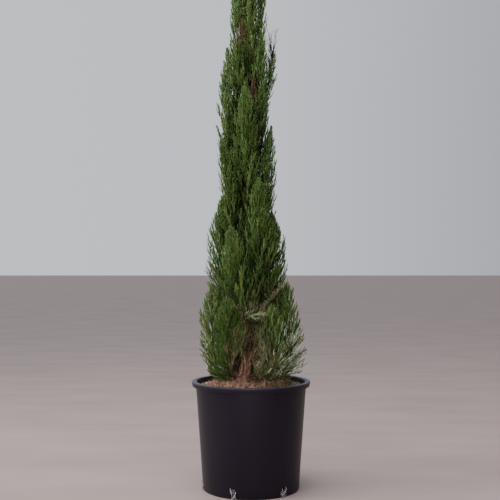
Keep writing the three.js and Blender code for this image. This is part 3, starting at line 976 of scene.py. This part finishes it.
# Small slabs lying on the compost
def make_chips(name, material, count, seed):
    random = default_rng(seed)
    away = (compost_radius(GROUND) - CHIPS.longest) * np.sqrt(random.random(count))
    x, y, _ = polar(away, random.uniform(0, TURN, count), 0).T
    centre = np.stack([x, y, compost_top(x, y) + CHIPS.lift], axis=1)
    turn = random.uniform(0, TURN, count)
    tilt = CHIPS.tilt * random.normal(size=count)
    long_way = polar(np.cos(tilt), turn, np.sin(tilt))
    short_way = unit(np.cross(UP, long_way))
    ways = [long_way, short_way, np.cross(long_way, short_way)]
    length = lerp(CHIPS.shortest, CHIPS.longest, random.random(count) ** 2)
    width = length * random.uniform(*CHIPS.widths, count)
    sizes = [length, width, length * random.uniform(*CHIPS.heights, count)]
    corners = []
    for signs in ((a, b, c) for c in (-1, 1) for a, b in ((-1, -1), (1, -1), (1, 1), (-1, 1))):
        uneven = random.uniform(*CHIPS.uneven, (3, count))
        reach = [sign * size / 2 * share for sign, size, share in zip(signs, sizes, uneven)]
        corners.append(centre + sum(way * far[:, None] for way, far in zip(ways, reach)))
    points = np.stack(corners, axis=1).reshape(-1, 3)
    box = np.array([[3, 2, 1, 0], [4, 5, 6, 7], [0, 1, 5, 4], [1, 2, 6, 5], [2, 3, 7, 6], [3, 0, 4, 7]])
    mesh_piece(name, points, [copies(box, count, 8)], material, "compost", smooth=False)


# Dry shed foliage heaped round the foot, thinner farther out
def make_litter(material):
    random = default_rng(SEED.litter)
    away = LITTER.spread * np.abs(random.normal(size=LITTER.count)) + LITTER.from_foot
    x, y, _ = (trunk_point(GROUND) + polar(away, random.uniform(0, TURN, LITTER.count), 0)).T
    inside = np.hypot(x, y) < compost_radius(GROUND) - LITTER.longest
    x = x[inside]
    y = y[inside]
    count = len(x)
    piled = LITTER.heap * near_foot(x, y, LITTER.heap_width) * random.random(count)
    roots = np.stack([x, y, compost_top(x, y) + LITTER.lift + piled], axis=1)
    turn = random.uniform(0, TURN, count)
    rise = np.abs(LITTER.tilt * random.normal(size=count))
    length = random.uniform(LITTER.shortest, LITTER.longest, count)
    tips = roots + polar(np.cos(rise), turn, np.sin(rise)) * length[:, None]
    widths = LITTER.slimness * length + LITTER.least_width
    mesh_piece("litter", *spikes(roots, tips, widths, random.uniform(0, TURN, count)), material, "compost")


# Pale roots that fill the drain slots and stand a little out of them
def make_roots(material):
    random = default_rng(SEED.roots)
    count = ROOTS.each * SLOT.count
    outward = polar(1, np.repeat(slot_angles(), ROOTS.each), 0)
    across = random.uniform(-ROOTS.across, ROOTS.across, count) * SLOT.width
    height = random.uniform(ROOTS.lowest, SLOT.height * ROOTS.highest, count)
    length = random.uniform(*ROOTS.lengths, count) * ROOTS.longest
    lean = random.uniform(-ROOTS.lean, ROOTS.lean, count)
    edge = ROOTS.edge * SLOT.width
    paths = []
    for share in np.arange(ROOTS.rings) / (ROOTS.rings - 1):
        wobble = ROOTS.wobble * random.normal(size=count)
        bulge = (ROOTS.proud + ROOTS.sunk) * math.sin(math.pi * share)
        out = BASE_RADIUS - ROOTS.sunk + bulge + wobble
        side = np.clip(across + length * np.sin(lean) * (share - 0.5) * ROOTS.slant, -edge, edge)
        z = np.clip(height + length * np.cos(lean) * (share - 0.5), ROOTS.floor, SLOT.height + ROOTS.over)
        paths.append(outward * out[:, None] + np.cross(UP, outward) * side[:, None] + UP * z[:, None])
    radii = ROOTS.width / 2 * random.uniform(*ROOTS.widths, (count, 1))
    mesh_piece("root_tangle", *tubes(paths, radii, ROOTS.sides), material, "compost")


# Strips of bark whose ends lift off the trunk
def make_strips(material):
    random = default_rng(SEED.strips)
    count = STRIPS.count
    low = GROUND + STRIPS.end * random.random(count) ** STRIPS.crowding
    turn = random.uniform(0, TURN, count)
    length = random.uniform(STRIPS.shortest, STRIPS.longest, count)
    shares = np.linspace(0, 1, STRIPS.rings)
    drift = STRIPS.drift * random.normal(size=count)
    lift_low = STRIPS.proud * random.random(count) ** 2
    lift_high = STRIPS.proud * random.random(count) ** 2
    paths = []
    for share in shares:
        z = low + length * share
        lift = STRIPS.clear + lift_low * (1 - share) ** 3 + lift_high * share**3
        out = polar(1, turn + drift * share, 0)
        paths.append(trunk_point(z) + out * (trunk_radius(z) + lift)[:, None])
    thickness = np.sin(math.pi * np.clip(shares, *STRIPS.ends)) * STRIPS.width / 2
    radii = thickness * random.uniform(*STRIPS.widths, (count, 1))
    mesh_piece("bark_strips", *tubes(paths, radii, STRIPS.sides), material, "bark")


# Dead shoots that stand round the foot
def make_shoots(material):
    random = default_rng(SEED.shoots)
    count = SHOOTS.count
    out = polar(1, random.uniform(0, TURN, count), 0)
    clump = np.arange(count) % len(SHOOT_CLUMPS)
    middles = np.array([middle for middle, _ in SHOOT_CLUMPS])[clump]
    away = np.array([spread for _, spread in SHOOT_CLUMPS])[clump] * np.abs(random.normal(size=count))
    x, y = (middles + away[:, None] * out[:, :2]).T
    roots = np.stack([x, y, compost_top(x, y) - SHOOTS.sunk], axis=1)
    lean = SHOOTS.lean * random.normal(size=count)
    bend = SHOOTS.bend * random.normal(size=count)
    length = lerp(SHOOTS.shortest, SHOOTS.longest, random.random(count) ** 2)
    paths = []
    for share in np.linspace(0, 1, len(SHOOT_TAPER)):
        outward_reach = (lean * share + bend * share**2) * length
        paths.append(roots + UP * (length * share)[:, None] + out * outward_reach[:, None])
    radii = SHOOTS.width / 2 * SHOOT_TAPER * random.uniform(*SHOOTS.widths, (count, 1))
    mesh_piece("dead_shoots", *tubes(paths, radii, SHOOTS.sides), material, "bark")


# Bare twigs, each with a few side twigs
def make_bare_twigs(material):
    random = default_rng(SEED.bare)
    count = BARE.count
    roots = PLUMES[ASIDE_INDEX].point(random.uniform(*BARE.start, count))
    out = polar(1, random.uniform(0, TURN, count), 0)
    along = unit(UP + BARE.lean * random.random((count, 1)) * out - [BARE.left, 0, 0])
    length = random.uniform(BARE.shortest, BARE.longest, count)[:, None]

    def at(share):
        return roots + length * (share * along + BARE.bend * share**2 * out)

    shares = np.linspace(0, 1, BARE.rings)
    radii = BARE.width / 2 * lerp(1, BARE.taper, shares)
    parts = [tubes([at(share) for share in shares], radii, BARE.sides)]
    for _ in range(BARE.side_twigs):
        share = random.uniform(*BARE.side_places, (count, 1))
        aside = unit(random.normal(size=(count, 3)))
        start = at(share)
        end = start + BARE.side_share * length * unit(along + BARE.side_lean * aside)
        parts.append(tubes([start, end], BARE.side_width * BARE.width, BARE.side_sides))
    mesh_piece("bare_twigs", *joined(parts), material, "bark")


# The pale sprig: a twig from the trunk, and sprays fanned flat to either side of its end
def make_sprig(bark, material):
    random = default_rng(SEED.sprig)
    path = np.array(SPRIG.path)
    steps = np.linspace(0, 1, SPRIG.rings)
    radii = SPRIG.radius * lerp(1, SPRIG.taper, steps)
    mesh_piece("sprig_twig", *tubes(bezier(path, steps)[:, None], radii, SPRIG.sides), bark, "bark")
    order = np.arange(SPRIG.sprays)
    shares = lerp(SPRIG.start, 1, order / (SPRIG.sprays - 1))
    headings = bezier_heading(path, shares)
    across = unit(np.cross(headings, [0, 1, 0])) * np.where(order % 2, 1, -1)[:, None]
    fan = SPRIG.fan * across * (1 - shares)[:, None]
    sprays = {
        "roots": bezier(path, shares),
        "along": unit(headings + fan + SPRIG.play * random.normal(size=across.shape)),
        "lengths": np.full(SPRIG.sprays, SPRIG.length),
    }
    mesh_piece("sprig_leaves", *cord_spikes(sprays, order, FINE_CORDS, random), material, "foliage")


# A cut bough's stub, whose sawn end is paler than its bark
def make_stub(bark, wood):
    start, end = np.array(STUB.start), np.array(STUB.end)
    line = lerp(start, end, np.linspace(0, 1, STUB.rings)[:, None])[:, None]
    mesh_piece("stub_bark", *tubes(line, STUB.radius, STUB.sides), bark, "bark")
    sawn = [[end], [end + STUB.wood * unit(end - start)]]
    wood_radius = STUB.wood_radius * STUB.radius
    mesh_piece("stub_wood", *tubes(sawn, wood_radius, STUB.sides), wood, "bark", smooth=False)


# A node's inputs, each set to a value or linked to the output that is given for it
def feed(tree, node, inputs):
    for name, value in inputs.items():
        if isinstance(value, bpy.types.NodeSocket):
            tree.links.new(value, node.inputs[name])
        else:
            node.inputs[name].default_value = value


def add_node(tree, kind, inputs):
    node = tree.nodes.new(kind)
    feed(tree, node, inputs)
    return node.outputs


# Colours by a value
def ramp(tree, value, stops):
    node = tree.nodes.new("ShaderNodeValToRGB")
    elements = node.color_ramp.elements
    while len(elements) < len(stops):
        elements.new(0.5)
    for element, (place, colour) in zip(elements, stops):
        element.position = place
        element.color = (*colour, 1)
    feed(tree, node, {"Fac": value})
    return node.outputs["Color"]


def grained(*colours):
    return list(zip(GRAIN_PLACES[len(colours)], colours))


# A place's coordinates, or a direction's
def coordinates(tree, source="Object"):
    return tree.nodes.new("ShaderNodeTexCoord").outputs[source]


def noise(tree, scale, stretch=(1, 1, 1), detail=4):
    mapped = add_node(tree, "ShaderNodeMapping", {"Vector": coordinates(tree), "Scale": stretch})["Vector"]
    inputs = {"Vector": mapped, "Scale": scale, "Detail": detail}
    return add_node(tree, "ShaderNodeTexNoise", inputs)["Fac"]


# Coordinates, with each axis apart
def axes(tree, source="Object"):
    return add_node(tree, "ShaderNodeSeparateXYZ", {"Vector": coordinates(tree, source)})


# Where a value is between two others, from 0 to 1
def share_between(tree, value, low, high):
    return add_node(tree, "ShaderNodeMapRange", {"Value": value, "From Min": low, "From Max": high})["Result"]


def bump(tree, value, strength, distance):
    inputs = {"Height": value, "Strength": strength, "Distance": distance}
    return add_node(tree, "ShaderNodeBump", inputs)["Normal"]


# Two colours multiplied or added
def blend(tree, kind, first, second):
    node = tree.nodes.new("ShaderNodeMix")
    node.data_type = "RGBA"
    node.blend_type = kind
    feed(tree, node, {"Factor": 1, "A": first, "B": second})
    return node.outputs["Result"]


def new_material(name):
    material = bpy.data.materials.new(name)
    material.use_nodes = True
    return material, material.node_tree


# A material with its shader's inputs given
def shaded(material, colour, roughness, specular=0.5, normal=None):
    tree = material.node_tree
    inputs = {"Base Color": colour, "Roughness": roughness, "Specular IOR Level": specular}
    if normal is not None:
        inputs["Normal"] = normal
    feed(tree, tree.nodes["Principled BSDF"], inputs)
    return material


def foliage_material(tint, colour):
    material, tree = new_material(f"foliage_{tint}")
    colours = [tuple(shade * c for c in colour) for shade in TINT_SHADES]
    shade = ramp(tree, noise(tree, 55, detail=2), grained(*colours))
    return shaded(material, shade, roughness=0.6, specular=0.25)


def bark_material(name, scale, *colours):
    material, tree = new_material(name)
    texture = noise(tree, scale, stretch=(1, 1, 0.12), detail=6)
    relief = bump(tree, texture, strength=0.6, distance=0.001)
    shade = ramp(tree, texture, grained(*colours))
    return shaded(material, shade, roughness=0.9, specular=0.2, normal=relief)


# Black plastic, with a painted highlight along the top of its rim
def pot_material():
    material, tree = new_material("black_plastic")
    stops = [(0.35, (0.0088, 0.0058, 0.0128)), (0.75, (0.0125, 0.0084, 0.0165))]
    shade = ramp(tree, noise(tree, 9, stretch=(1, 1, 0.5), detail=5), stops)
    # Painted highlight: a lighter colour added along the rim's top few millimetres
    stops = [(POT_HEIGHT - PAINTED_RIM_HIGHLIGHT.low, (0, 0, 0)), (POT_HEIGHT - PAINTED_RIM_HIGHLIGHT.high, PAINTED_RIM_HIGHLIGHT.colour)]
    with_painted_highlight = blend(tree, "ADD", shade, ramp(tree, axes(tree)["Z"], stops))
    relief = bump(tree, noise(tree, 900, detail=2), strength=0.12, distance=0.0002)
    return shaded(material, with_painted_highlight, roughness=0.4, specular=0.22, normal=relief)


# Compost, with painted shade low down in the drain slots and painted shade growing from its left towards the
# right
def compost_material():
    material, tree = new_material("compost")
    texture = noise(tree, 160, detail=6)
    stops = grained((0.24, 0.16, 0.115), (0.45, 0.325, 0.245), (0.66, 0.52, 0.42))
    place = axes(tree)
    # Painted shade: the compost turns nearly black low down, where it shows through the drain slots
    slot_shade_stops = [(SLOT.height + PAINTED_SLOT_SHADE.low, PAINTED_SLOT_SHADE.colour), (SLOT.height + PAINTED_SLOT_SHADE.high, (1, 1, 1))]
    slot_shaded = blend(tree, "MULTIPLY", ramp(tree, texture, stops), ramp(tree, place["Z"], slot_shade_stops))
    # Painted shade: the compost darkens from its left towards the right
    across = share_between(tree, place["X"], PAINTED_COMPOST_SHADE.end, PAINTED_COMPOST_SHADE.damp_from)
    left = ramp(tree, across, [(0.0, (1, 1, 1)), (1.0, PAINTED_COMPOST_SHADE.damp_colour)])
    shade = blend(tree, "MULTIPLY", slot_shaded, left)
    return shaded(material, shade, roughness=0.95, normal=bump(tree, texture, strength=0.9, distance=0.002))


def floor_material():
    material, tree = new_material("pale_floor")
    stops = grained((0.355, 0.27, 0.245), (0.42, 0.325, 0.3))
    shade = ramp(tree, noise(tree, 1.6, stretch=(1, 2.5, 1), detail=8), stops)
    return shaded(material, shade, roughness=0.7)


# Stage: floor, light and camera
def make_stage():
    mesh = bpy.data.meshes.new("floor")
    corners = [(x * STAGE_REACH, y * STAGE_REACH, 0) for x, y in ((-1, -1), (1, -1), (1, 1), (-1, 1))]
    mesh.from_pydata(corners, [], [(0, 1, 2, 3)])
    mesh.materials.append(floor_material())
    floor = into_scene("floor", mesh)


def add_light(name, place, aim, size, power, spread=180):
    data = bpy.data.lights.new(name, "AREA")
    data.shape = "RECTANGLE"
    data.size, data.size_y = size
    data.energy = power
    data.spread = math.radians(spread)
    light = into_scene(name, data)
    light.location = place
    light.rotation_mode = "QUATERNION"
    light.rotation_quaternion = Vector(np.subtract(aim, place)).to_track_quat("-Z", "Y")


# A sky that is bright on the left and dim on the right, a roof light, a side light and a weak front light
def make_light():
    world = bpy.data.worlds.new("studio")
    world.use_nodes = True
    tree = world.node_tree
    across = share_between(tree, axes(tree, "Generated")["X"], -1, 1)
    stops = [(0.0, (0.95, 0.98, 1.05)), (0.5, (0.8, 0.83, 0.9)), (0.7, (0.42, 0.43, 0.47))]
    shade = ramp(tree, across, [*stops, (1.0, (0.2, 0.2, 0.22))])
    feed(tree, tree.nodes["Background"], {"Color": shade, "Strength": 0.95})
    bpy.context.scene.world = world
    add_light("roof", (-0.6, -0.8, 4.2), (0, 0, 0.9), (3.0, 3.0), 145)
    add_light("left", (-3.2, -0.6, 1.9), (0, 0, 0.8), (1.2, 2.0), 46)
    add_light("front", (-0.3, -3.2, 0.9), (-0.01, 0, 0.4), (0.5, 0.5), 0.42, 14)


def make_camera():
    data = bpy.data.cameras.new("camera")
    data.sensor_width = SENSOR
    data.lens = SENSOR * FOCAL_PIXELS / IMAGE_PIXELS
    data.shift_y = (HORIZON_PIXEL - IMAGE_PIXELS / 2) / IMAGE_PIXELS
    camera = into_scene("camera", data)
    camera.location = CAMERA_PLACE
    camera.rotation_euler = (math.pi / 2, 0, 0)
    bpy.context.scene.camera = camera


make_camera()
make_light()
make_stage()

barks = {name: bark_material(name, *rule) for name, rule in BARKS.items()}
foliage = {tint: foliage_material(tint, colour) for tint, colour in TINTS.items()}

twigs = merged([grow_twigs(), grow_trunk_twigs()])
make_twigs(twigs, barks["twig_bark"])
make_foliage(twigs, foliage)
make_trunk(barks["bark"])
make_boughs(barks["bark"])
make_strips(barks["strip_bark"])
make_shoots(barks["strip_bark"])
make_bare_twigs(barks["twig_bark"])
make_sprig(barks["twig_bark"], foliage_material("sprig", SPRIG.colour))
make_stub(barks["strip_bark"], barks["tan_chip"])
make_pot(pot_material())
make_compost(compost_material())
make_chips("chips_dark", barks["dark_chip"], CHIPS.count, SEED.chips)
make_chips("chips_tan", barks["tan_chip"], CHIPS.count // 2, SEED.chips + 1)
make_litter(barks["litter"])
make_roots(barks["root"])
